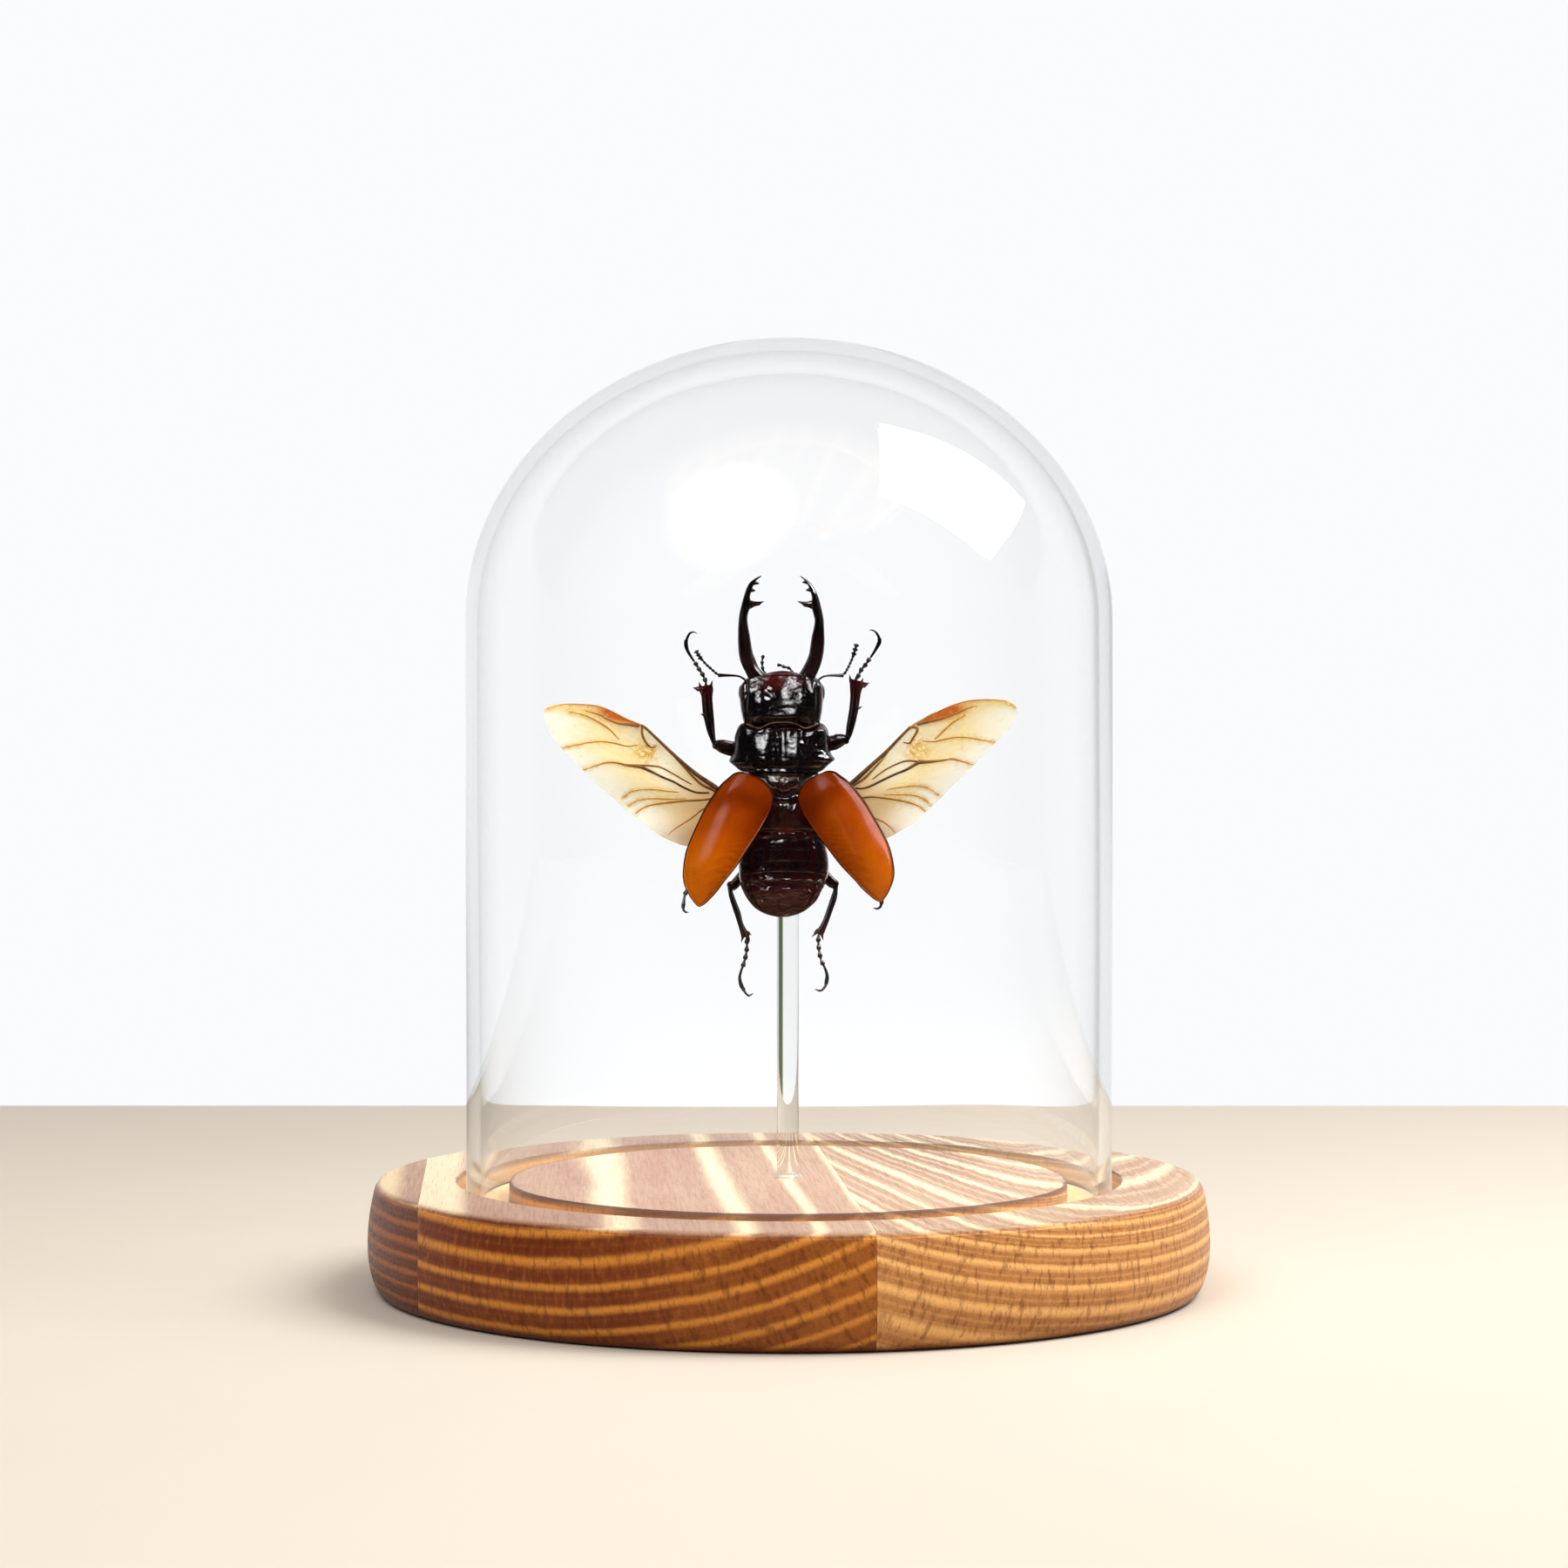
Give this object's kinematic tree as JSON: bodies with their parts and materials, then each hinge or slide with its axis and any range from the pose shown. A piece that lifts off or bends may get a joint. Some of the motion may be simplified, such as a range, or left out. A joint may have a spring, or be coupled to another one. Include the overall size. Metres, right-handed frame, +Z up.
{
  "type": "insect in glass dome",
  "caption": "Winged stag beetle glued to a clear rod, standing under a lift-off glass dome on a round wooden base glued up from parallel staves.",
  "frame": {"origin": "centre of the base's underside, on the surface that it stands on", "axes": "+Z up; -Y towards the viewer, the side that the beetle's back faces; +X to that viewer's right"},
  "size_m": [0.13, 0.13, 0.1467],
  "materials": {
    "wood": "oiled softwood with dark and light growth rings, satin",
    "dome_glass": "clear, polished",
    "rod_glass": "clear, polished",
    "clear_glue": "clear hardened glue, glossy",
    "black_cuticle": "black insect cuticle, very glossy, dark red where thin",
    "dark_red_cuticle": "black to dark red insect cuticle, very glossy",
    "orange_brown_cuticle": "orange-brown insect cuticle with a black rim, glossy",
    "wing_membrane": "thin amber membrane with brown veins, faint sheen"
  },
  "bodies": {
    "root": {"base_stave_left": "wood", "base_stave_middle": "wood", "base_stave_right": "wood", "glass_dome": "dome_glass", "support_rod": "rod_glass", "foot_glue": "clear_glue", "body_glue": "clear_glue", "mandible_left": "dark_red_cuticle", "mandible_right": "dark_red_cuticle", "elytron_left": "orange_brown_cuticle", "elytron_right": "orange_brown_cuticle", "hindwing_left": "wing_membrane", "hindwing_right": "wing_membrane", "head": "black_cuticle", "palp_left": "black_cuticle", "palp_right": "black_cuticle", "antenna_left": "black_cuticle", "antenna_right": "black_cuticle", "pronotum": "black_cuticle", "mesothorax": "black_cuticle", "metathorax": "black_cuticle", "abdomen": "black_cuticle", "foreleg_left_femur": "black_cuticle", "foreleg_left_tibia": "black_cuticle", "foreleg_left_tarsus": "black_cuticle", "foreleg_right_femur": "black_cuticle", "foreleg_right_tibia": "black_cuticle", "foreleg_right_tarsus": "black_cuticle", "midleg_left_femur": "black_cuticle", "midleg_left_tibia": "black_cuticle", "midleg_left_tarsus": "black_cuticle", "midleg_right_femur": "black_cuticle", "midleg_right_tibia": "black_cuticle", "midleg_right_tarsus": "black_cuticle", "hindleg_left_femur": "black_cuticle", "hindleg_left_tibia": "black_cuticle", "hindleg_left_tarsus": "black_cuticle", "hindleg_right_femur": "black_cuticle", "hindleg_right_tibia": "black_cuticle", "hindleg_right_tarsus": "black_cuticle"}
  },
  "joints": []
}
